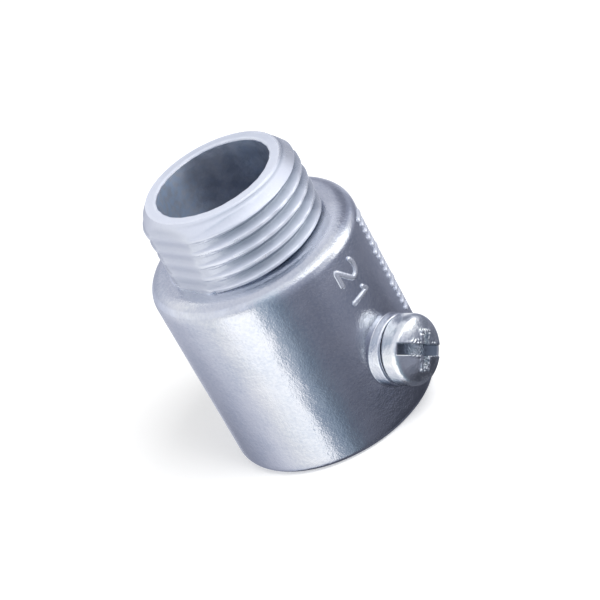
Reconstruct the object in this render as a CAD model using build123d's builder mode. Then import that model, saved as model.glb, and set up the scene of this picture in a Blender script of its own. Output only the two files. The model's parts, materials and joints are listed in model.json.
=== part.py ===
from build123d import *
import os
from math import atan, degrees

os.makedirs("parts", exist_ok=True)

# Straight set-screw conduit connector, sizes in millimetres.
# Origin: centre of the socket's mouth. +Z: out through the threaded nipple. +X: the set screw's side.

# Conduit and socket
conduit_radius = 11.71
conduit_wall = 1.25
conduit_clearance = 0.19
socket_depth = 22.5
mouth_lead_in = 0.4

# Hub casting
hub_wall = 1.95
shoulder_wall = 4.4
shoulder_fillet = 2.2
mouth_chamfer = 0.65

# Nipple, plain at the thread's major diameter
thread_radius = 10.48
thread_root_radius = 9.05
nipple_length = 9.8
lead_in_length = 1.8
throat_radius = 7.5
throat_round = 3.15
throat_edge_chamfer = 0.3
flat_distance_at_face = 9.72
flat_distance_at_shoulder = 10.06
flat_turn_from_screw = 80

# Set screw and its boss
screw_height = 9.0
screw_radius = 2.41
screw_clearance = 0.05
boss_radius = 4.5
boss_face_rise = 1.15
boss_edge_chamfer = 0.3
hole_chamfer = 0.3
head_radius = 4.5
head_height = 3.6
crown_rise = 1.2
head_edge_round = 0.5
head_gap = 0.25
tip_chamfer = 0.45
tip_to_socket = 0.05
slot_width = 1.35
slot_depth = 1.75
slot_turn = -43
recess_half_length = 2.2
recess_width = 1.0
recess_depth = 2.1
recess_taper = 8

# Sizes that follow from the ones above
socket_radius = conduit_radius + conduit_clearance
hub_radius = socket_radius + hub_wall
hub_length = socket_depth + shoulder_wall
bell_radius = min(throat_round, socket_radius - conduit_wall - throat_radius)
bell_edge = throat_radius + bell_radius
overall_length = hub_length + nipple_length
hole_radius = screw_radius + screw_clearance
boss_face = hub_radius + boss_face_rise
head_seat = boss_face + head_gap
head_top = head_seat + head_height
screw_tip = socket_radius + tip_to_socket
flat_draft = degrees(atan((flat_distance_at_shoulder - flat_distance_at_face) / nipple_length))

# Nipple: turned outline with a lead-in cone, then two drafted flats on opposite sides
with BuildPart() as nipple:
    with BuildSketch(Plane.XZ):
        with BuildLine():
            Polyline(
                (0, hub_length - hub_wall / 2),
                (thread_radius, hub_length - hub_wall / 2),
                (thread_radius, overall_length - lead_in_length),
                (thread_root_radius, overall_length),
                (0, overall_length),
                close=True,
            )
        make_face()
    revolve(axis=Axis.Z)
    for turn in (flat_turn_from_screw, flat_turn_from_screw + 180):
        face_edge = Plane.XY.offset(overall_length).rotated((0, 0, turn))
        flat_point = face_edge.from_local_coords(Vector(flat_distance_at_face, 0, 0))
        outward = Vector(1, 0, 0).rotate(Axis.Y, -flat_draft).rotate(Axis.Z, turn)
        split(bisect_by=Plane(origin=flat_point, z_dir=outward), keep=Keep.BOTTOM)

# Casting: hub, nipple and boss in one piece, with the socket, stop, bell-mouthed throat and screw hole
with BuildPart() as connector_body:
    with BuildSketch(Plane.XY):
        Circle(hub_radius)
    extrude(amount=hub_length)
    fillet(connector_body.edges().sort_by(Axis.Z)[-1], shoulder_fillet)
    chamfer(connector_body.edges().sort_by(Axis.Z)[0], mouth_chamfer)
    add(nipple.part)
    with BuildSketch(Plane.YZ.offset(boss_face)):
        with Locations((0, screw_height)):
            Circle(boss_radius)
    extrude(amount=socket_radius + hub_wall / 2 - boss_face)
    boss_rim = connector_body.edges().filter_by(GeomType.CIRCLE).group_by(Axis.X)[-1]
    chamfer(boss_rim, boss_edge_chamfer)
    with BuildSketch(Plane.XZ):
        with BuildLine():
            Line((0, 0), (socket_radius + mouth_lead_in, 0))
            Line((socket_radius + mouth_lead_in, 0), (socket_radius, mouth_lead_in))
            Line((socket_radius, mouth_lead_in), (socket_radius, socket_depth))
            Line((socket_radius, socket_depth), (bell_edge, socket_depth))
            bell = RadiusArc(
                (bell_edge, socket_depth), (throat_radius, socket_depth + bell_radius), -bell_radius
            )
            Line(bell @ 1, (throat_radius, overall_length - throat_edge_chamfer))
            Line(
                (throat_radius, overall_length - throat_edge_chamfer),
                (throat_radius + throat_edge_chamfer, overall_length),
            )
            Line((throat_radius + throat_edge_chamfer, overall_length), (0, overall_length))
            Line((0, overall_length), (0, 0))
        make_face()
    revolve(axis=Axis.Z, mode=Mode.SUBTRACT)
    with BuildSketch(Plane.YZ.offset(boss_face)):
        with Locations((0, screw_height)):
            Circle(hole_radius)
    extrude(amount=-boss_face, mode=Mode.SUBTRACT)
    hole_rim = connector_body.edges().filter_by(GeomType.CIRCLE).group_by(Axis.X)[-1].sort_by(SortBy.RADIUS)[0]
    chamfer(hole_rim, hole_chamfer)
connector_body.part.label = "connector_body"
export_step(connector_body.part, "parts/connector_body.step")

# Set screw: pan head with a full slot and a cross recess, plain shank with a chamfered point
screw_line = Plane(origin=(0, 0, screw_height), x_dir=(1, 0, 0), z_dir=(0, -1, 0))
head_face = Plane(origin=(head_top, 0, screw_height), x_dir=(0, 1, 0), z_dir=(1, 0, 0))
with BuildPart() as set_screw:
    with BuildSketch(screw_line) as screw_section:
        with BuildLine():
            Polyline(
                (head_top, 0),
                (screw_tip, 0),
                (screw_tip, screw_radius - tip_chamfer),
                (screw_tip + tip_chamfer, screw_radius),
                (head_seat, screw_radius),
                (head_seat, head_radius),
                (head_top - crown_rise, head_radius),
            )
            crown_radius = (head_radius**2 + crown_rise**2) / (2 * crown_rise)
            RadiusArc((head_top - crown_rise, head_radius), (head_top, 0), crown_radius)
        make_face()
        fillet(screw_section.vertices().group_by(Axis.Y)[-1].sort_by(Axis.X)[-1], head_edge_round)
    revolve(axis=Axis((0, 0, screw_height), (1, 0, 0)))
    with BuildSketch(head_face):
        Rectangle(4 * head_radius, slot_width, rotation=slot_turn)
    extrude(amount=-slot_depth, mode=Mode.SUBTRACT)
    with BuildSketch(head_face):
        Rectangle(2 * recess_half_length, recess_width, rotation=slot_turn)
        Rectangle(2 * recess_half_length, recess_width, rotation=slot_turn + 90)
    extrude(amount=-recess_depth, taper=recess_taper, mode=Mode.SUBTRACT)
set_screw.part.label = "set_screw"
export_step(set_screw.part, "parts/set_screw.step")
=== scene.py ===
import bpy
import json
import numpy as np
from math import acos, cos, pi, radians, sin, tan
from mathutils import Euler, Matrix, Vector


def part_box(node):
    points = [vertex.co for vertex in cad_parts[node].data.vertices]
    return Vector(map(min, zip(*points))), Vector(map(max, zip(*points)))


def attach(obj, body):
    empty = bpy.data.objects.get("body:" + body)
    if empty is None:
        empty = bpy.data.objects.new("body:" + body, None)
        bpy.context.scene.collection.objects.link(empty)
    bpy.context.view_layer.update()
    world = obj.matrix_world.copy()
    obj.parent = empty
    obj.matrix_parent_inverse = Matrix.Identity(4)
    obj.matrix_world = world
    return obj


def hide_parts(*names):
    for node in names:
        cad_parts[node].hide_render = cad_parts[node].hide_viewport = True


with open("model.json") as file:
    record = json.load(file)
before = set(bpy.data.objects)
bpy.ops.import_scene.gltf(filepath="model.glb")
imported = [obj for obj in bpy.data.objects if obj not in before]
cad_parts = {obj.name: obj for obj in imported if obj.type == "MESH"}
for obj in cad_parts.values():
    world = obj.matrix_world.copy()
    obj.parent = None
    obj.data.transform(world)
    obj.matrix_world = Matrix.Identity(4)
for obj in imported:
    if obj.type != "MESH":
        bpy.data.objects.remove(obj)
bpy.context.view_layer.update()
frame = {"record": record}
scene = bpy.context.scene

# Sizes are in millimetres until a mesh is written, which scales it to metres
MM = 0.001
mounts = {m["name"]: m for m in frame["record"]["mounts"]}
body_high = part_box("connector_body")[1]
screw_low, screw_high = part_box("set_screw")

# Casting
LEAD_IN = 0.4
SOCKET_R = mounts["conduit_socket"]["dims"]["r_mm"]
SOCKET_TOP = mounts["conduit_socket"]["dims"]["length_mm"] + LEAD_IN
THROAT_R = mounts["throat"]["dims"]["r_mm"]
THREAD_R = mounts["nipple_thread"]["dims"]["r_mm"]
SHOULDER_Z = mounts["shoulder"]["pos_m"][2] / MM
FACE_Z = body_high.z / MM
HUB_R = body_high.y / MM
BOSS_FACE = body_high.x / MM
COLUMNS = 360
MOUTH_ROUND = 1.1
SHOULDER_FILLET = 2.2
BELL_ROUND = 3.15
THROAT_EDGE = 0.3
THROAT_WAVINESS = 0.09
BOSS_R = 4.5
BOSS_FOOT_ROUND = 0.16
BOSS_EDGE_ROUND = 0.38
HOLE_R = 2.46
HOLE_CHAMFER = 0.3
NIPPLE_CLOSE_ROWS = 8
NIPPLE_ROWS = 108

# Open block in the hub's wall, which the boss and its hole fill
BLOCK_LOW = 3.0
BLOCK_HIGH = 15.0
BLOCK_ROWS = 24
BLOCK_HALF_COLUMNS = 25
BLOCK_FIRST = COLUMNS // 2 - BLOCK_HALF_COLUMNS
BLOCK_LAST = COLUMNS // 2 + BLOCK_HALF_COLUMNS - 1

# Lead-in cone and flats on the nipple, with a small pit at the foot of each flat's corner
RIM_R = 9.05
LEAD_CONE = 1.8
FLAT_TURN = radians(80)
FLAT_AT_FACE = 9.72
FLAT_AT_SHOULDER = 10.06
FLAT_CORNER = acos(FLAT_AT_FACE / THREAD_R)
CORNER_ROUND = 0.06
CONE_ROUND = 0.2
FLAT_CONE_ROUND = 0.6
CORNER_FADE = radians(8)
PIT_DEPTH = 0.28
PIT_HALF_WIDTH = 0.2
PIT_HALF_HEIGHT = 0.16
PIT_UP = 0.12
PIT_TURN = radians(2.5)

# Thread, which gets shallow beside the flats
ROOT_R = 9.6
THREAD_DEPTH = THREAD_R - ROOT_R
PITCH = 1.9
CREST_AT = 35.17
CREST_HALF = 0.17
GROOVE_POWER = 1.3
GROOVE_ROUND = 0.1
SHALLOW = 0.15
FADE_LEAD = radians(6)
FADE_TURN = radians(44)
TRACE_ON_FLAT = 0.16
WAVINESS = 0.05
SECOND_LINE_AT = 0.72
SECOND_LINE_HALF = 0.13
SECOND_LINE_RISE = 0.15
START_GROOVE = 0.14
START_GROOVE_DROP = 0.38
START_GROOVE_HALF = 0.15
START_GROOVE_SHADE = 0.6
FAINTEST_SHADE = 0.35
SECOND_LINE_LIGHT = 0.9
CREST_WEAR_CUT = 0.16
CREST_WEAR_FADE = 0.06
CORNER_WEAR_HALF = 0.15
CORNER_WEAR_TURN = radians(45)

# Finish of the casting, as shares, with painted shade and painted light among them
FACE_PAINTED_SHADE = 0.24
NIPPLE_FOOT_PAINTED_SHADE = 0.7
BORE_SATIN = 0.12
BORE_PAINTED_LIGHT = 0.55
PAINTED_LIGHT_TURN = radians(192)
PAINTED_LIGHT_HALF = radians(42)
SHOULDER_SATIN_PAINTED_LIGHT_RIGHT = 0.72
SHOULDER_SATIN_PAINTED_LIGHT_LEFT = 0.22
NIPPLE_BARE_PAINTED_SHADE = 0.45
MOUTH_WEAR = 0.6
FILLET_WEAR = 0.8
FACE_EDGE_WEAR = 0.5
THROAT_EDGE_WEAR = 0.8

# Set screw
SCREW_Z = (screw_low.z + screw_high.z) / 2 / MM
TIP_X = screw_low.x / MM
CROWN_X = screw_high.x / MM
SCREW_R = 2.41
SCREW_PITCH = 1.058
SCREW_THREAD_DEPTH = 0.6
SCREW_ROOT_HALF = 0.09
SHANK_TOP = 0.6
FLANK_SLOPE = tan(radians(60))
TIP_CHAMFER = 0.45
HEAD_R = 4.5
HEAD_SEAT = BOSS_FACE + 0.25
HEAD_ROUND = 0.702
SEAT_ROUND = 0.3
CROWN_RISE = 1.2
CROWN_POWER = 2.5
SLOT_WIDTH = 1.35
SLOT_DEPTH = 1.75
SLOT_TURN = radians(-43)
SLOT_ROUND = 0.16
RECESS_REACH = 2.2
RECESS_WIDTH = 1.0
RECESS_DEPTH = 1.1
RECESS_REACH_TAPER = 0.45
RECESS_WIDTH_TAPER = 0.1
RECESS_ROUND = 0.14
RECESS_WOBBLE = 0.4
BURR_HEIGHT = 0.36
BURR_HALF = 0.34
BURR_START = 0.8
NICK_HEIGHT = 0.2
WIDE_LIP = 0.6
NARROW_LIP = 0.28
SLOT_FLOOR_RISE = 0.55
SLOT_FLOOR_RIPPLE = 0.5
RECESS_FLOOR_RIPPLE = 0.9
NET_STEP = 0.08
NET_MARGIN = 0.2

# Raised marks on the hub
MARK_WEAR = 0.3
MARK_SUNK = 0.12
DIGIT_HEIGHT = 3.2
DIGIT_WIDTH = 2.5
DIGIT_STEP = 3.9
DIGIT_TOP_Z = 23.4
DIGIT_BASE = -2.4
DIGIT_HALF_WIDTH = 0.38
DIGIT_RISE = 0.2
DIGIT_SATIN_AND_HIGHLIGHT = 0.4
BOWL_MIDDLE = 0.72
BOWL_SQUASH = 0.56
TICKS = 15
TICK_STEP = 1.03
TICK_TOP_Z = 24.2
TICK_PLACE = radians(32.5) * HUB_R
TICK_HALF_WIDTH = 0.4
TICK_RISE = 0.26
TICK_SATIN_AND_HIGHLIGHT = 0.95
LONG_TICK_HALF = 1.3
SHORT_TICK_HALF = 0.85
TICKS_TO_A_LONG_ONE = 5


# Shared helpers

def new_mesh(name, points, faces, body, smooth_angle=35):
    mesh = bpy.data.meshes.new(name)
    corners = [tuple(p) for p in np.asarray(points) * MM]
    mesh.from_pydata(corners, [], [tuple(int(i) for i in f) for f in faces])
    mesh.validate()
    mesh.update()
    mesh.shade_smooth()
    mesh.set_sharp_from_angle(angle=radians(smooth_angle))
    piece = bpy.data.objects.new(name, mesh)
    scene.collection.objects.link(piece)
    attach(piece, body)
    return piece


def add_values(piece, name, values):
    attribute = piece.data.attributes.new(name, "FLOAT", "POINT")
    attribute.data.foreach_set("value", np.array(values, np.float32))


def arc(r0, z0, radius, start, end, steps):
    """Points (r, z) on an arc about (r0, z0), from one angle to another, in degrees."""
    turns = np.radians(np.linspace(start, end, steps))
    return [(r0 + radius * cos(a), z0 + radius * sin(a)) for a in turns]


def line(r1, z1, r2, z2, steps):
    """Points (r, z) on a straight line, without its last point."""
    return [(r1 + (r2 - r1) * k / steps, z1 + (z2 - z1) * k / steps) for k in range(steps)]


def ramp(x):
    return np.clip(x, 0, 1)


def smooth(x):
    x = ramp(x)
    return x * x * (3 - 2 * x)


def bell(x):
    return np.exp(-x ** 2)


def smooth_min(a, b, k):
    """The smaller of two values, with a round of about k where they cross."""
    h = ramp(0.5 + 0.5 * (b - a) / k)
    return b * (1 - h) + a * h - k * h * (1 - h)


def smooth_max(a, b, k):
    return -smooth_min(-a, -b, k)


def between(phi, low, low_fade, high, high_fade):
    """1 between two angles and 0 beyond them, each with its fade on the inner side, in degrees."""
    over_low = (phi - radians(low)) / radians(low_fade)
    under_high = (radians(high) - phi) / radians(high_fade)
    return smooth(over_low) * smooth(under_high)


def about(phi, middle, half):
    """1 near an angle, with a soft edge round the half width, both in degrees."""
    return smooth(1.3 - np.abs(phi - radians(middle)) / radians(half))


# Nipple surface: radius at an angle about the axis and a height

def over_crest(phi, z):
    """Height over the thread's topmost ridge, followed along its helix."""
    return z - CREST_AT - PITCH * phi / (2 * pi)


def thread_cut(phi, z):
    """Share of the thread's full depth, 0 on a ridge and 1 at the root."""
    from_crest = np.abs((over_crest(phi, z) + PITCH / 2) % PITCH - PITCH / 2)
    share = ramp((from_crest - CREST_HALF) / (PITCH / 2 - CREST_HALF))
    return 1 - (1 - share) ** GROOVE_POWER


def second_line(phi, z, past_corner):
    """Fine line between two crests, on both sides of the flat in view, from 0 to 1."""
    up = over_crest(phi, z) % PITCH
    ridge = bell((up - SECOND_LINE_AT * PITCH) / SECOND_LINE_HALF)
    return ridge * smooth((radians(-30) - phi) / radians(30)) * smooth(past_corner / CORNER_FADE)


def start_groove(phi, z):
    """Fine groove round the lead-in cone, close under the face, from 0 to 1."""
    return between(phi, -100, 70, 100, 30) * bell((FACE_Z - z - START_GROOVE_DROP) / START_GROOVE_HALF)


def uneven(phi, z):
    """Slow waves between 0 and 1 round the nipple, for a worn, hand-trimmed look."""
    return 0.5 + 0.5 * np.sin(9 * phi + 2.1 * np.sin(1.3 * z)) * np.sin(17 * phi + 1.7 * z + 0.4)


def nipple_radius(phi, z):
    """Radius, shade of the grooves and wear, the last two from 0 to 1."""
    cut = thread_cut(phi, z)
    offset = np.abs((phi - FLAT_TURN + pi / 2) % pi - pi / 2)
    past_corner = offset - FLAT_CORNER
    deepest = SHALLOW + (THREAD_DEPTH - SHALLOW) * smooth((past_corner + FADE_LEAD) / FADE_TURN)
    second = second_line(phi, z, past_corner)
    threaded = THREAD_R - smooth_min(THREAD_DEPTH * cut, deepest, GROOVE_ROUND)
    threaded = threaded - WAVINESS * uneven(phi, z) + SECOND_LINE_RISE * second

    cone = RIM_R + (FACE_Z - z) * (THREAD_R - RIM_R) / LEAD_CONE
    flat = FLAT_AT_FACE + (FACE_Z - z) / (FACE_Z - SHOULDER_Z) * (FLAT_AT_SHOULDER - FLAT_AT_FACE)
    flat_cos = np.cos(np.minimum(offset, radians(60)))
    flat_r = (flat - TRACE_ON_FLAT * cut) / flat_cos
    on_flat = smooth((CORNER_FADE / 2 - past_corner) / CORNER_FADE)
    cone_round = CONE_ROUND + (FLAT_CONE_ROUND - CONE_ROUND) * on_flat
    whole = smooth_min(smooth_min(THREAD_R, flat / flat_cos, CORNER_ROUND), cone, CONE_ROUND)
    radius = smooth_min(smooth_min(threaded, flat_r, CORNER_ROUND), cone, cone_round)

    sunk = ramp((whole - radius) / THREAD_DEPTH)
    start = start_groove(phi, z)
    radius = radius - START_GROOVE * start
    faint = FAINTEST_SHADE + (1 - FAINTEST_SHADE) * (deepest - SHALLOW) / (THREAD_DEPTH - SHALLOW)
    groove_shade = (1 - (1 - sunk) ** 2) * faint * (1 - SECOND_LINE_LIGHT * second)
    shade = np.maximum(groove_shade, START_GROOVE_SHADE * start)

    under_cone = cone - radius
    uncut = np.minimum(flat_r, cone) - threaded
    crest_wear = smooth(1 - cut / CREST_WEAR_CUT) * smooth(uncut / CREST_WEAR_FADE)
    corner_wear = bell((threaded - flat_r) / CORNER_WEAR_HALF) * (offset < CORNER_WEAR_TURN)
    corner_wear = corner_wear * smooth(under_cone / 0.3)
    wear = np.maximum(np.maximum(crest_wear, corner_wear), second * smooth(under_cone / 0.2))

    past_pit = (past_corner + PIT_TURN) * THREAD_R / PIT_HALF_WIDTH
    over_pit = (z - SHOULDER_Z - PIT_UP) / PIT_HALF_HEIGHT
    return radius - PIT_DEPTH * bell(past_pit) * bell(over_pit), shade, wear


# Casting mesh: rows along the section's outline, with a patch round the screw hole inside and out

def section_rows():
    """Points (r, z) round the casting's section, and the number of the row where each part starts."""
    start = {}
    rows = line(SOCKET_R + LEAD_IN, 0, HUB_R - MOUTH_ROUND, 0, 3)
    start["mouth edge"] = len(rows)
    rows += arc(HUB_R - MOUTH_ROUND, MOUTH_ROUND, MOUTH_ROUND, -90, 0, 7)[:-1]
    start["lower hub"] = len(rows)
    rows += line(HUB_R, MOUTH_ROUND, HUB_R, BLOCK_LOW, 3)
    start["outer block"] = len(rows)
    rows += line(HUB_R, BLOCK_LOW, HUB_R, BLOCK_HIGH, BLOCK_ROWS)
    start["upper hub"] = len(rows)
    rows += line(HUB_R, BLOCK_HIGH, HUB_R, SHOULDER_Z - SHOULDER_FILLET, 12)
    start["fillet"] = len(rows)
    rows += arc(HUB_R - SHOULDER_FILLET, SHOULDER_Z - SHOULDER_FILLET, SHOULDER_FILLET, 0, 90, 17)
    start["shoulder"] = len(rows)
    rows += line(HUB_R - SHOULDER_FILLET, SHOULDER_Z, THREAD_R + 0.1, SHOULDER_Z, 6)[1:]
    start["nipple"] = len(rows)
    heights = [SHOULDER_Z + 0.05 * k for k in range(NIPPLE_CLOSE_ROWS)]
    heights += list(np.linspace(heights[-1], FACE_Z, NIPPLE_ROWS))[1:]
    rows += [(THREAD_R, z) for z in heights]
    start["face"] = len(rows)
    rows += line(RIM_R, FACE_Z, THROAT_R + THROAT_EDGE, FACE_Z, 5)[1:]
    start["throat edge"] = len(rows)
    rows += arc(THROAT_R + THROAT_EDGE, FACE_Z - THROAT_EDGE, THROAT_EDGE, 90, 180, 5)[:-1]
    start["throat"] = len(rows)
    bell_z = SOCKET_TOP + BELL_ROUND
    rows += line(THROAT_R, FACE_Z - THROAT_EDGE, THROAT_R, bell_z, 6)
    rows += arc(THROAT_R + BELL_ROUND, bell_z, BELL_ROUND, 180, 270, 9)[:-1]
    rows += line(THROAT_R + BELL_ROUND, SOCKET_TOP, SOCKET_R, SOCKET_TOP, 3)
    rows += line(SOCKET_R, SOCKET_TOP, SOCKET_R, BLOCK_HIGH, 4)
    start["inner block"] = len(rows)
    rows += line(SOCKET_R, BLOCK_HIGH, SOCKET_R, BLOCK_LOW, BLOCK_ROWS)
    start["lower socket"] = len(rows)
    rows += line(SOCKET_R, BLOCK_LOW, SOCKET_R, LEAD_IN, 3)
    rows += line(SOCKET_R, LEAD_IN, SOCKET_R + LEAD_IN, 0, 2)
    return rows, start


def casting_finish(phi, height, start, shade, wear):
    """Shares for the material at every row and column: lightness, below 1 where shade is painted, then
    inside, satin or rubbed bright.
    """
    fillet, shoulder, nipple = start["fillet"], start["shoulder"], start["nipple"]
    face, throat_edge, throat = start["face"], start["throat edge"], start["throat"]
    lightness = np.ones_like(height)
    # Painted shade in the nipple's grooves, lighter on the fine second line
    lightness[nipple:face] = 1 - shade
    # Painted shade on the face's far side
    lightness[face:throat] = 1 - FACE_PAINTED_SHADE * about(phi, 110, 80)
    # Painted shade in the corner at the nipple's foot, deepest next to the nipple
    painted_foot_shade = about(phi, -34, 42)
    for k in range(shoulder, nipple):
        inward = (k - shoulder + 1) / (nipple - shoulder)
        lightness[k] = 1 - NIPPLE_FOOT_PAINTED_SHADE * painted_foot_shade * inward ** 0.6

    # Inside the bore: rougher there, and with painted shade in the material
    inside = np.zeros_like(height)
    inside[throat:] = 1

    satin = np.zeros_like(height)
    # Painted light: a satin patch on one wall of the bore near its top, lighter and bluer, where light
    # falls on that wall
    from_painted_light = np.abs((phi - PAINTED_LIGHT_TURN + pi) % (2 * pi) - pi)
    painted_bore_light = smooth(1.25 - from_painted_light / PAINTED_LIGHT_HALF)
    bore = slice(throat, start["inner block"])
    satin[bore] = BORE_SATIN + BORE_PAINTED_LIGHT * painted_bore_light * smooth((height[bore] - SOCKET_TOP) / 6)
    # Satin on the shoulder at two ranges of turns: a satin finish whose lighter colour also paints light on
    # those sides
    onto_flat = smooth((np.arange(nipple - fillet) - 10) / 5)[:, None]
    satin_painted_light_right = between(phi, -24, 22, 46, 32)
    satin_painted_light_left = between(phi, -102, 25, -50, 15)
    satin[fillet:nipple] = onto_flat * (SHOULDER_SATIN_PAINTED_LIGHT_RIGHT * satin_painted_light_right + SHOULDER_SATIN_PAINTED_LIGHT_LEFT * satin_painted_light_left)
    satin[nipple + 3:throat - 1] = 1
    # Less satin on the nipple's right side, which paints shade there
    satin[nipple + 3:face] -= NIPPLE_BARE_PAINTED_SHADE * between(phi, 10, 22, 120, 30)

    worn = np.zeros_like(height)
    worn[start["mouth edge"]:start["lower hub"]] = MOUTH_WEAR
    worn[fillet + 5:fillet + 9] = FILLET_WEAR
    worn[nipple:face] = wear
    worn[face - 1:face + 1] = FACE_EDGE_WEAR
    worn[throat_edge:throat - 1] = THROAT_EDGE_WEAR
    return {"crest": lightness, "inside": inside, "satin": satin, "worn": worn}


def block_border(index, row_low, row_high):
    """Points round the open block, from its low corner, along the bottom, up, back and down."""
    step = 1 if row_high > row_low else -1
    rows_up = list(range(row_low, row_high, step)) + [row_high]
    bottom = [index[row_low, i] for i in range(BLOCK_FIRST, BLOCK_LAST)]
    right = [index[j, BLOCK_LAST] for j in rows_up[:-1]]
    top = [index[row_high, i] for i in range(BLOCK_LAST, BLOCK_FIRST, -1)]
    left = [index[j, BLOCK_FIRST] for j in rows_up[:0:-1]]
    return bottom + right + top + left


def boss_loops(turn, border_rho):
    """Distance from the screw's axis and x of each loop: hub, boss, hole and the socket's wall."""
    def wall_x(rho, wall_r):
        return np.sqrt(wall_r ** 2 - (rho * np.cos(turn)) ** 2)

    rise = BOSS_FACE - wall_x(BOSS_R, HUB_R)
    foot = np.minimum(BOSS_FOOT_ROUND, 0.5 * rise)
    edge = np.minimum(BOSS_EDGE_ROUND, 0.4 * rise)
    on_hub = [border_rho * (1 - share) + (BOSS_R + 0.75) * share for share in (0.35, 0.65, 0.85, 1.0)]
    on_hub.append(BOSS_R + foot + 0.12)
    loops = [(rho, wall_x(rho, HUB_R)) for rho in on_hub]
    for a in np.radians(np.linspace(0, 84, 7)):
        rho = BOSS_R + foot * (1 - sin(a))
        loops.append((rho, wall_x(rho, HUB_R) + foot * (1 - cos(a))))
    for a in np.radians(np.linspace(0, 90, 6)):
        loops.append((BOSS_R - edge * (1 - cos(a)), BOSS_FACE - edge * (1 - sin(a))))
    hole_edge = HOLE_R + HOLE_CHAMFER
    hole_top = BOSS_FACE - HOLE_CHAMFER
    loops += [(rho, BOSS_FACE) for rho in (4.0, 3.6, 3.2, hole_edge + 0.08)]
    loops.append((hole_edge, BOSS_FACE - 0.03))
    for share in (0, 0.25, 0.5, 0.75, 1.0):
        loops.append((HOLE_R, hole_top * (1 - share) + wall_x(HOLE_R, SOCKET_R) * share))
    loops += [(rho, wall_x(rho, SOCKET_R)) for rho in (2.9, 3.5, 4.1)]
    return loops


def build_casting():
    """Points and faces of the casting, and its shares for the material."""
    rows, start = section_rows()
    phi = (np.arange(COLUMNS) + 0.5) * 2 * pi / COLUMNS - pi
    radius = np.array([r for r, _ in rows])[:, None] + 0 * phi
    height = np.array([z for _, z in rows])[:, None] + 0 * phi
    nipple = slice(start["nipple"], start["face"])
    radius[nipple], shade, wear = nipple_radius(phi + 0 * height[nipple], height[nipple])
    radius[start["throat edge"]:start["throat"] + 1] += THROAT_WAVINESS * uneven(phi, FACE_Z)
    finish = casting_finish(phi, height, start, shade, wear)
    grid = np.stack([radius * np.cos(phi), radius * np.sin(phi), height], -1).reshape(-1, 3)

    count = len(rows)
    index = np.arange(count * COLUMNS).reshape(count, COLUMNS)
    open_rows = set(range(start["outer block"], start["upper hub"]))
    open_rows |= set(range(start["inner block"], start["lower socket"]))
    faces = []
    for j in range(count):
        k = (j + 1) % count
        for i in range(COLUMNS):
            if j in open_rows and BLOCK_FIRST <= i < BLOCK_LAST:
                continue
            n = (i + 1) % COLUMNS
            faces.append((index[j, i], index[j, n], index[k, n], index[k, i]))

    outer_border = block_border(index, start["outer block"], start["upper hub"])
    inner_border = block_border(index, start["lower socket"], start["inner block"])
    across = grid[outer_border, 1]
    up = grid[outer_border, 2] - SCREW_Z
    turn = np.arctan2(up, across)
    size = len(outer_border)
    patch = []
    rings = [outer_border]
    for rho, x in boss_loops(turn, np.hypot(across, up)):
        first = len(grid) + size * len(patch)
        rings.append(list(range(first, first + size)))
        patch.append(np.stack([x + 0 * turn, rho * np.cos(turn), SCREW_Z + rho * np.sin(turn)], -1))
    rings.append(inner_border)
    for outer, inner in zip(rings, rings[1:]):
        for a in range(size):
            b = (a + 1) % size
            faces.append((outer[a], outer[b], inner[b], inner[a]))

    patch = np.vstack(patch)
    from_axis = np.hypot(patch[:, 1], patch[:, 2] - SCREW_Z)
    from_edge = np.abs(from_axis - BOSS_R) + np.abs(patch[:, 0] - BOSS_FACE)
    patch_finish = {"crest": 1, "inside": 0, "satin": 0, "worn": smooth(1.6 - from_edge / 0.4)}
    for name, share in patch_finish.items():
        finish[name] = np.append(finish[name], share + 0 * from_edge)
    return np.vstack([grid, patch]), faces, finish


points, faces, finish = build_casting()
casting = new_mesh("casting", points, faces, "casting")
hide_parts("connector_body")
for name, shares in finish.items():
    add_values(casting, name, shares)


# Set screw: pan head with a slot and a cross recess, on a threaded shank, as a net over a distance field

def surface_net(field, low, high, step):
    """Points and quads round the solid where the field is below 0."""
    axes = [np.arange(a, b + step, step) for a, b in zip(low, high)]
    value = field(*np.meshgrid(*axes, indexing="ij"))
    shape = np.array(value.shape) - 1
    total = np.zeros((*shape, 3))
    hits = np.zeros(shape)

    def block(offset):
        return tuple(slice(o, o + n) for o, n in zip(offset, shape))

    for axis in range(3):
        for corner in range(4):
            offset = [0, 0, 0]
            offset[(axis + 1) % 3] = corner % 2
            offset[(axis + 2) % 3] = corner // 2
            near = value[block(offset)]
            place = np.array(offset, float)
            offset[axis] = 1
            far = value[block(offset)]
            crossed = (near < 0) != (far < 0)
            share = np.where(crossed, near / np.where(crossed, near - far, 1), 0)
            hits += crossed
            for k in range(3):
                total[..., k] += crossed * place[k] + (share if k == axis else 0)
    used = hits > 0
    number = np.full(shape, -1)
    number[used] = np.arange(used.sum())
    cells = np.argwhere(used)
    points = np.array(low) + step * (cells + total[used] / hits[used][:, None])

    quads = []
    for axis in range(3):
        b, c = (axis + 1) % 3, (axis + 2) % 3
        near = value[tuple(slice(0, n) if k == axis else slice(1, n) for k, n in enumerate(shape))]
        far = value[tuple(slice(1, n + 1) if k == axis else slice(1, n) for k, n in enumerate(shape))]
        for leaving in (True, False):
            found = (near < 0) & (far >= 0) if leaving else (near >= 0) & (far < 0)
            place = np.argwhere(found)
            place[:, b] += 1
            place[:, c] += 1
            corners = []
            for shift_b, shift_c in ((-1, -1), (0, -1), (0, 0), (-1, 0)):
                cell = place.copy()
                cell[:, b] += shift_b
                cell[:, c] += shift_c
                corners.append(number[cell[:, 0], cell[:, 1], cell[:, 2]])
            quad = np.stack(corners, 1)
            quads.append(quad if leaving else quad[:, ::-1])
    return points, np.vstack(quads)


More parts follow.
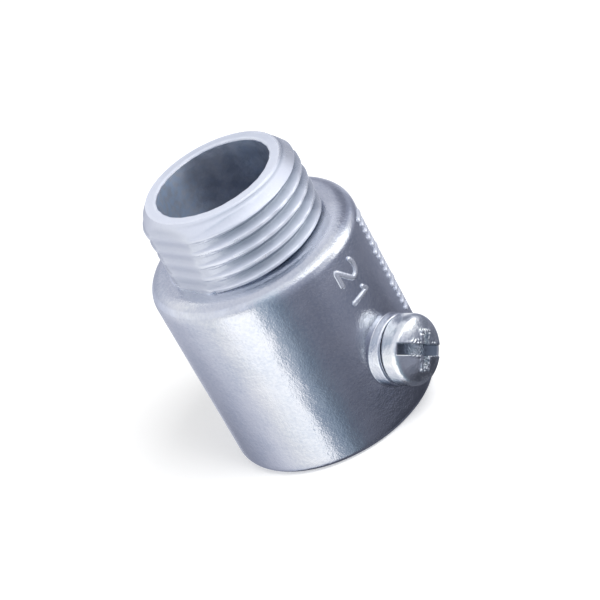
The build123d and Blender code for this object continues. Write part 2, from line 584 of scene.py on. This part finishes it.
def settle(points, field, rounds=3, reach=0.01):
    """Moves each point onto the field's surface."""
    for _ in range(rounds):
        value = field(*points.T)
        slope = np.empty_like(points)
        for k in range(3):
            ahead = points.copy()
            behind = points.copy()
            ahead[:, k] += reach
            behind[:, k] -= reach
            slope[:, k] = (field(*ahead.T) - field(*behind.T)) / (2 * reach)
        points = points - slope * (value / np.maximum((slope ** 2).sum(1), 0.2))[:, None]
    return points


def screw_axes(y, z):
    """Distances along the slot and across it, from the screw's axis."""
    up = z - SCREW_Z
    return y * cos(SLOT_TURN) + up * sin(SLOT_TURN), -y * sin(SLOT_TURN) + up * cos(SLOT_TURN)


def crown_height(rho):
    return CROWN_X - CROWN_RISE * (np.minimum(rho, HEAD_R) / HEAD_R) ** CROWN_POWER


def ripples(along, across):
    """Uneven waves between about 0 and 1, for burrs and tool marks."""
    waves = np.sin(6.9 * along + 2.3 * np.sin(3.1 * across))
    waves = waves * np.sin(5.7 * across + 1.9 * np.sin(4.3 * along) + 0.7)
    return 0.5 + 0.5 * waves


def head_field(x, along, across):
    """Distance to the head's surface, below 0 inside it, with the slot, the cross recess and burrs."""
    rho = np.hypot(along, across)
    slope = CROWN_POWER * CROWN_RISE / HEAD_R * (np.minimum(rho, HEAD_R) / HEAD_R) ** (CROWN_POWER - 1)
    crown = (x - crown_height(rho)) / np.sqrt(1 + slope ** 2)
    head = smooth_max(smooth_max(rho - HEAD_R, crown, HEAD_ROUND), HEAD_SEAT - x, SEAT_ROUND)

    down = CROWN_X - x
    from_slot = np.abs(across) - SLOT_WIDTH / 2
    past_reach = np.abs(across) - RECESS_REACH + RECESS_REACH_TAPER * down
    past_side = np.abs(along) - RECESS_WIDTH / 2 + RECESS_WIDTH_TAPER * down
    wing = np.maximum(past_reach, past_side) + RECESS_WOBBLE * (ripples(1.3 * along, 0.9 * across) - 0.5)
    ripple = ripples(along, across)
    burr = BURR_HEIGHT * bell((wing - 0.1) / BURR_HALF) * ramp((np.abs(across) - BURR_START) / 0.4)
    burr = burr * (0.25 + 0.75 * ripple)
    lip = np.where(across > 0, WIDE_LIP, NARROW_LIP)
    nick = NICK_HEIGHT * bell(from_slot / lip) * ripple * ramp(1.7 - rho / 2.8)
    head = head - (burr + nick) * ramp(1 - down)

    slot_floor = CROWN_X - SLOT_DEPTH + SLOT_FLOOR_RISE * ramp(rho / HEAD_R) ** 3
    slot_floor = slot_floor + SLOT_FLOOR_RIPPLE * ripple * ramp(1.2 - rho / 1.8)
    slot = np.maximum(from_slot, slot_floor - x)
    head = smooth_max(head, -slot, SLOT_ROUND)
    over_floor = down - RECESS_DEPTH + RECESS_FLOOR_RIPPLE * ripple * ramp((np.abs(across) - 0.7) / 0.4)
    return smooth_max(head, -0.9 * np.maximum(wing, over_floor), RECESS_ROUND)


def shank_field(x, along, across):
    """Distance to the threaded shank's surface, below 0 inside it, scaled to a slope of about 1."""
    rho = np.hypot(along, across)
    turn = np.arctan2(across, along)
    phase = (x + SCREW_PITCH * turn / (2 * pi)) % SCREW_PITCH
    from_root = np.abs(phase - SCREW_PITCH / 2) - SCREW_ROOT_HALF
    groove = smooth_max(SCREW_R - from_root * FLANK_SLOPE, SCREW_R - SCREW_THREAD_DEPTH, 0.2)
    shank = (rho - smooth_min(groove, SCREW_R, 0.08)) * 0.55
    shank = smooth_max(shank, (rho - SCREW_R + TIP_CHAMFER - (x - TIP_X)) * 0.7, 0.1)
    return np.maximum(shank, np.maximum(TIP_X - x, x - HEAD_SEAT - SHANK_TOP))


def screw_field(x, y, z):
    along, across = screw_axes(y, z)
    return np.minimum(head_field(x, along, across), shank_field(x, along, across))


low = (TIP_X - NET_MARGIN, -HEAD_R - NET_MARGIN, SCREW_Z - HEAD_R - NET_MARGIN)
high = (CROWN_X + NET_MARGIN, HEAD_R + NET_MARGIN, SCREW_Z + HEAD_R + NET_MARGIN)
net_points, net_faces = surface_net(screw_field, low, high, NET_STEP)
net_points = settle(net_points, screw_field)
net_points[:, 0] = np.clip(net_points[:, 0], TIP_X, CROWN_X)
screw = new_mesh("screw", net_points, net_faces, "screw", 60)
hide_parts("set_screw")

# Shade of the slot's floor and walls, weaker near the middle, where the recess catches light
net_x, net_y, net_z = net_points.T
along, across = screw_axes(net_y, net_z)
rho = np.hypot(along, across)
sunk = ramp((crown_height(rho) - net_x - 0.1) / 0.5) * (rho < HEAD_R - 0.5) * (net_x > HEAD_SEAT + 0.5)
in_slot = np.abs(across) < SLOT_WIDTH / 2 + 0.05
away = 1 - 0.65 * smooth(1.5 - rho / 1.3)
add_values(screw, "sunk", sunk * in_slot * away)


# Raised marks on the hub: a plain number and a row of plain ticks

def stroke(path, half_width, rise):
    """Points and faces of one raised line; its path holds distances round the hub and heights."""
    path = np.array(path, float)
    step = np.gradient(path, axis=0)
    step /= np.linalg.norm(step, axis=1)[:, None]
    side = np.stack([-step[:, 1], step[:, 0]], 1)
    run = np.concatenate([[0], np.cumsum(np.linalg.norm(np.diff(path, axis=0), axis=1))])
    edge = np.clip(np.minimum(run, run[-1] - run) / half_width, 0.08, 1)
    width = half_width * np.sqrt(1 - (1 - edge) ** 2)
    tallness = np.sqrt(width / half_width)
    around = np.radians(np.linspace(0, 360, 12, endpoint=False))
    points = []
    for p, n, w, tall in zip(path, side, width, tallness):
        for a in around:
            height = rise * tall * (1 - abs(cos(a)) ** 4) ** 0.5 if sin(a) > 0 else MARK_SUNK * sin(a)
            s, z = p + n * w * cos(a)
            points.append(((HUB_R + height) * cos(s / HUB_R), (HUB_R + height) * sin(s / HUB_R), z))
    size = len(around)
    faces = [(k * size + m, k * size + (m + 1) % size, (k + 1) * size + (m + 1) % size, (k + 1) * size + m)
             for k in range(len(path) - 1) for m in range(size)]
    faces.append(tuple(range(size))[::-1])
    faces.append(tuple(range(len(points) - size, len(points))))
    return points, faces


def dense(corners, spacing=0.12):
    """The path through the corners, with points set close together."""
    path = []
    for (a, b), (c, d) in zip(corners, corners[1:]):
        steps = max(2, int(np.hypot(c - a, d - b) / spacing))
        path += line(a, b, c, d, steps)
    return path + [corners[-1]]


def raise_marks(name, paths, half_width, rise, satin):
    points = []
    faces = []
    for path in paths:
        more, ring = stroke(dense(path), half_width, rise)
        faces += [tuple(len(points) + i for i in face) for face in ring]
        points += more
    piece = new_mesh(name, points, faces, "casting", 50)
    # The marks' satin share lightens them: partly a satin finish, partly painted highlight for the light
    # that raised marks catch
    add_values(piece, "satin", [satin] * len(points))
    add_values(piece, "crest", [1.0] * len(points))
    add_values(piece, "worn", [MARK_WEAR] * len(points))
    return piece


def glyph(corners, start):
    """Digit points (across, up) set on the hub, reading down the axis with the tops turned away."""
    return [(DIGIT_BASE + v * DIGIT_HEIGHT, DIGIT_TOP_Z - start - u * DIGIT_WIDTH) for u, v in corners]


bowl = arc(0.5, 0, 0.5, 165, -30, 14)
two = [(u, BOWL_MIDDLE + v * BOWL_SQUASH) for u, v in bowl] + [(0.02, 0.0), (1.0, 0.0)]
one = [(0.1, 0.78), (0.5, 1.0), (0.5, 0.0)]
number_paths = [glyph(two, 0), glyph(one, DIGIT_STEP)]
tick_paths = []
for k in range(TICKS):
    half = SHORT_TICK_HALF if k % TICKS_TO_A_LONG_ONE else LONG_TICK_HALF
    z = TICK_TOP_Z - TICK_STEP * k
    tick_paths.append([(TICK_PLACE - half, z), (TICK_PLACE + half, z)])
marks = [raise_marks("number", number_paths, DIGIT_HALF_WIDTH, DIGIT_RISE, DIGIT_SATIN_AND_HIGHLIGHT)]
marks.append(raise_marks("ticks", tick_paths, TICK_HALF_WIDTH, TICK_RISE, TICK_SATIN_AND_HIGHLIGHT))


# Materials: noise scales are waves to the metre, depths of bumps are in millimetres

def noise_mask(tree, coords, scale, detail, low, high, distortion=0.0):
    """A noise between 0 and 1, stretched so that low becomes 0 and high becomes 1."""
    texture = tree.nodes.new("ShaderNodeTexNoise")
    texture.inputs["Scale"].default_value = scale
    texture.inputs["Detail"].default_value = detail
    texture.inputs["Distortion"].default_value = distortion
    tree.links.new(coords, texture.inputs["Vector"])
    stretch = tree.nodes.new("ShaderNodeMapRange")
    stretch.inputs["From Min"].default_value = low
    stretch.inputs["From Max"].default_value = high
    tree.links.new(texture.outputs["Fac"], stretch.inputs["Value"])
    return stretch.outputs["Result"]


def feed(tree, socket, value):
    """Links a socket, or sets it to a number or to a colour of three parts."""
    if isinstance(value, bpy.types.NodeSocket):
        tree.links.new(value, socket)
    elif isinstance(value, tuple):
        socket.default_value = (*value, 1)
    else:
        socket.default_value = value


def mix_color(tree, factor, first, second):
    mixed = tree.nodes.new("ShaderNodeMix")
    mixed.data_type = "RGBA"
    feed(tree, mixed.inputs[0], factor)
    feed(tree, mixed.inputs[6], first)
    feed(tree, mixed.inputs[7], second)
    return mixed.outputs[2]


def math_node(tree, operation, first, second):
    made = tree.nodes.new("ShaderNodeMath")
    made.operation = operation
    feed(tree, made.inputs[0], first)
    feed(tree, made.inputs[1], second)
    return made.outputs[0]


def times(tree, first, second):
    return math_node(tree, "MULTIPLY", first, second)


def spread(tree, value, low, high):
    """A value from 0 to 1, mapped to run from low to high."""
    made = tree.nodes.new("ShaderNodeMapRange")
    made.inputs["To Min"].default_value = low
    made.inputs["To Max"].default_value = high
    tree.links.new(value, made.inputs["Value"])
    return made.outputs["Result"]


def attribute_value(tree, name):
    made = tree.nodes.new("ShaderNodeAttribute")
    made.attribute_name = name
    return made.outputs["Fac"]


def bump_chain(tree, shader, layers):
    """Bump nodes, one after the other, from pairs of a height socket and a depth."""
    normal = None
    for height, depth in layers:
        bump = tree.nodes.new("ShaderNodeBump")
        bump.inputs["Strength"].default_value = 1
        bump.inputs["Distance"].default_value = depth * MM
        tree.links.new(height, bump.inputs["Height"])
        if normal:
            tree.links.new(normal, bump.inputs["Normal"])
        normal = bump.outputs["Normal"]
    tree.links.new(normal, shader.inputs["Normal"])


def new_material(name, metallic, roughness):
    material = bpy.data.materials.new(name)
    material.use_nodes = True
    tree = material.node_tree
    shader = tree.nodes["Principled BSDF"]
    shader.inputs["Metallic"].default_value = metallic
    shader.inputs["Roughness"].default_value = roughness
    coords = tree.nodes.new("ShaderNodeTexCoord").outputs["Object"]
    return material, tree, shader, coords


ZINC_DARK = (0.58, 0.62, 0.70)
ZINC_LIGHT = (0.68, 0.70, 0.76)
ZINC_SPECK = (0.74, 0.76, 0.80)
ZINC_SATIN = (0.775, 0.815, 0.93)
# Colours of painted shade, painted shade in the bore and painted light in the bore
ZINC_PAINTED_SHADE = (0.30, 0.35, 0.43)
ZINC_PAINTED_BORE_SHADE = (0.36, 0.40, 0.48)
ZINC_PAINTED_LIGHT = (0.50, 0.64, 0.84)
ZINC_RUBBED = (0.84, 0.88, 0.96)
STEEL_DARK = (0.78, 0.82, 0.85)
STEEL_LIGHT = (0.90, 0.92, 0.94)
STEEL_PAINTED_SHADE = (0.30, 0.37, 0.44)


def cast_zinc():
    material, tree, shader, coords = new_material("cast_zinc", 1.0, 0.16)
    on_satin = attribute_value(tree, "satin")
    within = attribute_value(tree, "inside")
    crest = attribute_value(tree, "crest")
    worn = attribute_value(tree, "worn")
    cloud = noise_mask(tree, coords, 240, 3, 0.35, 0.65)
    speck = noise_mask(tree, coords, 2600, 2, 0.35, 0.65)
    patch = noise_mask(tree, coords, 420, 4, 0.42, 0.62, 0.4)
    mottle = noise_mask(tree, coords, 1100, 4, 0.4, 0.62)
    # Painted shade: darker where this attribute is below 1, in the nipple's grooves, on the face's far side
    # and at the nipple's foot
    groove = math_node(tree, "SUBTRACT", 1.0, crest)
    # Painted shade inside the bore, in patches; the roughness added inside is the bore's own duller finish
    painted_bore_shade = times(tree, within, spread(tree, patch, 0.25, 0.75))
    # Painted light in the bore: lighter and bluer where its satin share is high, most on one wall near the
    # top
    painted_bore_light = times(tree, times(tree, within, on_satin), spread(tree, mottle, 0.5, 1.3))
    rubbed = times(tree, worn, spread(tree, patch, 0.3, 1.0))
    base = mix_color(tree, cloud, ZINC_DARK, ZINC_LIGHT)
    base = mix_color(tree, times(tree, speck, 0.6), base, ZINC_SPECK)
    base = mix_color(tree, times(tree, on_satin, 0.75), base, ZINC_SATIN)
    base = mix_color(tree, times(tree, groove, 0.85), base, ZINC_PAINTED_SHADE)
    base = mix_color(tree, painted_bore_shade, base, ZINC_PAINTED_BORE_SHADE)
    base = mix_color(tree, painted_bore_light, base, ZINC_PAINTED_LIGHT)
    base = mix_color(tree, times(tree, rubbed, 0.8), base, ZINC_RUBBED)
    tree.links.new(base, shader.inputs["Base Color"])
    rough = math_node(tree, "ADD", spread(tree, cloud, 0.1, 0.17), times(tree, on_satin, 0.2))
    rough = math_node(tree, "ADD", rough, times(tree, within, 0.2))
    rough = math_node(tree, "SUBTRACT", rough, times(tree, rubbed, 0.05))
    tree.links.new(rough, shader.inputs["Roughness"])
    tree.links.new(spread(tree, on_satin, 1.0, 0.5), shader.inputs["Metallic"])
    grain = noise_mask(tree, coords, 5200, 2, 0.2, 0.8)
    sand = noise_mask(tree, coords, 2300, 3, 0.2, 0.8)
    waves = noise_mask(tree, coords, 330, 2, 0.2, 0.8)
    bump_chain(tree, shader, [(waves, 0.045), (sand, 0.015), (grain, 0.014)])
    return material


def plated_steel():
    material, tree, shader, coords = new_material("plated_steel", 1.0, 0.2)
    cloud = noise_mask(tree, coords, 900, 3, 0.35, 0.65)
    fine = noise_mask(tree, coords, 4200, 3, 0.3, 0.7)
    sunk = attribute_value(tree, "sunk")
    base = mix_color(tree, cloud, STEEL_DARK, STEEL_LIGHT)
    # Painted shade in the slot
    base = mix_color(tree, times(tree, sunk, 0.8), base, STEEL_PAINTED_SHADE)
    tree.links.new(base, shader.inputs["Base Color"])
    tree.links.new(spread(tree, fine, 0.14, 0.26), shader.inputs["Roughness"])
    bump_chain(tree, shader, [(cloud, 0.02), (fine, 0.006)])
    return material


zinc = cast_zinc()
for piece in [casting] + marks:
    piece.data.materials.append(zinc)
screw.data.materials.append(plated_steel())

# Camera
CAMERA_PLACE = (0.20266, -0.17986, 0.17230)
CAMERA_TURN = (56.525, 24.868, 32.426)
LENS = 149.95
camera_data = bpy.data.cameras.new("camera")
camera_data.lens = LENS
camera_data.sensor_width = 36
camera = bpy.data.objects.new("camera", camera_data)
camera.location = CAMERA_PLACE
camera.rotation_euler = Euler([radians(a) for a in CAMERA_TURN])
scene.collection.objects.link(camera)
scene.camera = camera

# Floor: pale, kept out of the metal's reflections, which show the studio surround instead
FLOOR_HALF = 1.5
FLOOR_TONE = 0.84
FLOOR_GLOW = 0.36
corners = [(-FLOOR_HALF, -FLOOR_HALF, 0), (FLOOR_HALF, -FLOOR_HALF, 0)]
corners += [(FLOOR_HALF, FLOOR_HALF, 0), (-FLOOR_HALF, FLOOR_HALF, 0)]
floor_mesh = bpy.data.meshes.new("floor")
floor_mesh.from_pydata(corners, [], [(0, 1, 2, 3)])
floor = bpy.data.objects.new("floor", floor_mesh)
scene.collection.objects.link(floor)
floor_material = bpy.data.materials.new("floor")
floor_material.use_nodes = True
floor_tree = floor_material.node_tree
floor_shader = floor_tree.nodes["Principled BSDF"]
floor_shader.inputs["Base Color"].default_value = (FLOOR_TONE, FLOOR_TONE, FLOOR_TONE, 1)
floor_shader.inputs["Roughness"].default_value = 0.9
floor_shader.inputs["Specular IOR Level"].default_value = 0.1
floor_shader.inputs["Emission Color"].default_value = (1, 1, 1, 1)
floor_path = floor_tree.nodes.new("ShaderNodeLightPath")
floor_glow = times(floor_tree, floor_path.outputs["Is Camera Ray"], FLOOR_GLOW)
floor_tree.links.new(floor_glow, floor_shader.inputs["Emission Strength"])
floor.data.materials.append(floor_material)
floor.visible_glossy = False

# World: white to the camera and in reflections, softer as light on matt surfaces
DIFFUSE_LEVEL = 0.5
world = bpy.data.worlds.new("world")
scene.world = world
world.use_nodes = True
tree = world.node_tree
path = tree.nodes.new("ShaderNodeLightPath")
seen = math_node(tree, "MAXIMUM", path.outputs["Is Camera Ray"], path.outputs["Is Glossy Ray"])
seen = math_node(tree, "MAXIMUM", seen, path.outputs["Is Transmission Ray"])
background = tree.nodes["Background"]
background.inputs["Color"].default_value = (1, 1, 1, 1)
tree.links.new(spread(tree, seen, DIFFUSE_LEVEL, 1.0), background.inputs["Strength"])

# Studio surround: a closed drum of toned cards, seen only in the object's reflections
DRUM_R = 45
DRUM_LOW = -60
DRUM_HIGH = 80
CEILING_TONE = 0.78
PIT_TONE = 0.12
TEAL_START = -78
TEAL_WIDTH = 50

# Tones of the drum's wall: for some heights, a tone at each turn about the axis, in degrees
WALL = {
    -45: {-222: 0.3, -150: 0.35, -102: 0.8, -66: 0.5, -44: 0.12, 0: 0.06, 77: 0.08, 120: 0.08},
    -20: {-222: 0.7, -192: 0.75, -177: 0.3, -150: 0.42, -132: 0.55, -102: 0.95, -87: 1.18, -68: 1.36,
          -64: 0.4, -58: 0.42, -44: 0.19, 0: 0.08, 50: 0.06, 77: 0.22, 120: 0.2},
    -6: {-222: 0.7, -192: 0.72, -177: 0.46, -147: 0.51, -117: 0.78, -102: 0.96, -90: 1.22, -69: 1.38,
         -65: 0.5, -57: 0.43, -44: 0.22, -20: 0.2, 0: 0.28, 17: 0.26, 32: 0.2, 50: 0.17, 77: 0.33,
         95: 0.33, 107: 0.8, 120: 0.8},
    6: {-222: 0.65, -180: 0.6, -150: 0.66, -117: 0.93, -102: 1.13, -92: 1.42, -68: 1.45, -62: 0.68,
        -46: 0.27, -20: 0.22, 0: 0.28, 50: 0.24, 75: 0.22, 95: 0.35, 107: 1.0, 120: 1.0},
    25: {-222: 0.55, -190: 0.5, -165: 0.7, -132: 0.92, -102: 0.97, -90: 1.35, -70: 1.35, -60: 0.6,
         -46: 0.37, -10: 0.4, 0: 0.8, 55: 0.9, 75: 0.4, 120: 0.5},
    36: {-222: 0.5, -190: 0.55, -165: 0.78, -132: 1.0, -87: 0.83, -70: 0.65, -46: 0.46, 20: 0.55,
         50: 0.6, 68: 0.28, 100: 0.25, 125: 0.5},
    50: {-222: 0.62, -190: 0.78, -165: 0.95, -132: 0.97, -87: 0.9, -60: 0.7, -20: 0.95, 30: 0.95,
         50: 0.75, 68: 0.32, 100: 0.3, 112: 0.55, 125: 0.68},
    58: {-222: 0.42, -200: 0.5, -165: 1.0, -132: 0.88, -60: 0.8, 30: 1.0, 60: 0.78, 105: 0.5, 125: 0.42},
    66: {-222: 1.3, -165: 1.1, -132: 0.8, -60: 0.9, 30: 1.05, 60: 0.8, 105: 0.6, 122: 1.3},
    80: {-222: 1.15, -165: 0.85, -60: 0.8, 30: 1.0, 120: 0.8},
}

# Light boxes on the wall, each a soft-edged patch that rises by its lean at each degree
BOXES = [
    {"turn": 13, "half_turn": 34, "height": 42, "half_height": 12, "lean": -0.35, "tone": 1.6},
    {"turn": 33, "half_turn": 18, "height": 22, "half_height": 10, "lean": 0, "tone": 1.9},
]


def tint(tone, turn=0):
    """A grey that turns bluer as it gets darker, and greener beside the bright strip."""
    blue = (1 - min(tone, 1)) ** 0.75
    teal = sin(pi * min(max((turn - TEAL_START) / TEAL_WIDTH, 0), 1)) ** 2
    return (tone * (1 - (0.07 + 0.2 * teal) * blue), tone, tone * (1 + 0.32 * blue), 1)


def wall_tone(turn, height):
    rows = [float(np.interp(turn, list(row), list(row.values()))) for row in WALL.values()]
    tone = float(np.interp(height, list(WALL), rows))
    for box in BOXES:
        across = abs(turn - box["turn"]) / box["half_turn"]
        up = abs(height - box["height"] - box["lean"] * (turn - box["turn"])) / box["half_height"]
        share = float(smooth(1.6 - 1.3 * (across ** 3 + up ** 3) ** (1 / 3)))
        tone = tone * (1 - share) + box["tone"] * share
    return tone


def glow_card(name, points, faces, shades):
    mesh = bpy.data.meshes.new(name)
    mesh.from_pydata([tuple(p) for p in np.array(points) * MM], [], faces)
    mesh.attributes.new("shade", "FLOAT_COLOR", "POINT").data.foreach_set("color", np.ravel(shades))
    board = bpy.data.objects.new(name, mesh)
    scene.collection.objects.link(board)
    material = bpy.data.materials.new(name)
    material.use_nodes = True
    board_tree = material.node_tree
    board_tree.nodes.clear()
    shade = board_tree.nodes.new("ShaderNodeAttribute")
    shade.attribute_name = "shade"
    glow = board_tree.nodes.new("ShaderNodeEmission")
    output = board_tree.nodes.new("ShaderNodeOutputMaterial")
    board_tree.links.new(shade.outputs["Color"], glow.inputs["Color"])
    board_tree.links.new(glow.outputs[0], output.inputs["Surface"])
    material.cycles.emission_sampling = "NONE"
    mesh.materials.append(material)
    board.visible_camera = False
    board.visible_diffuse = False
    board.visible_transmission = False
    board.visible_shadow = False


def drum_wall():
    turns = np.linspace(-222, 138, 181)
    heights = np.linspace(DRUM_LOW, DRUM_HIGH, 57)
    points = [(DRUM_R * cos(radians(a)), DRUM_R * sin(radians(a)), z) for a in turns for z in heights]
    shades = [tint(wall_tone(a, z), a) for a in turns for z in heights]
    rows = len(heights)
    faces = [(k * rows + m, (k + 1) * rows + m, (k + 1) * rows + m + 1, k * rows + m + 1)
             for k in range(len(turns) - 1) for m in range(rows - 1)]
    glow_card("wall", points, faces, shades)


def disc(name, height, tone):
    rim = [(DRUM_R * cos(a), DRUM_R * sin(a), height) for a in np.radians(range(0, 360, 10))]
    glow_card(name, rim, [tuple(range(len(rim)))], [tint(tone)] * len(rim))


drum_wall()
disc("ceiling", DRUM_HIGH, CEILING_TONE)
disc("pit", DRUM_LOW, PIT_TONE)

# Key light, which casts the shadow and stays out of reflections
KEY_PLACE = (0.35, 0.04, 0.5)
KEY_TARGET = (0, 0, 0.02)
KEY_SIZE = 0.36
KEY_POWER = 3.1
key_data = bpy.data.lights.new("key", "AREA")
key_data.shape = "RECTANGLE"
key_data.size = KEY_SIZE
key_data.size_y = KEY_SIZE
key_data.energy = KEY_POWER
key = bpy.data.objects.new("key", key_data)
key.location = KEY_PLACE
key.rotation_euler = (Vector(KEY_TARGET) - Vector(KEY_PLACE)).to_track_quat("-Z", "Y").to_euler()
key.visible_glossy = False
scene.collection.objects.link(key)

scene.view_settings.view_transform = "Standard"
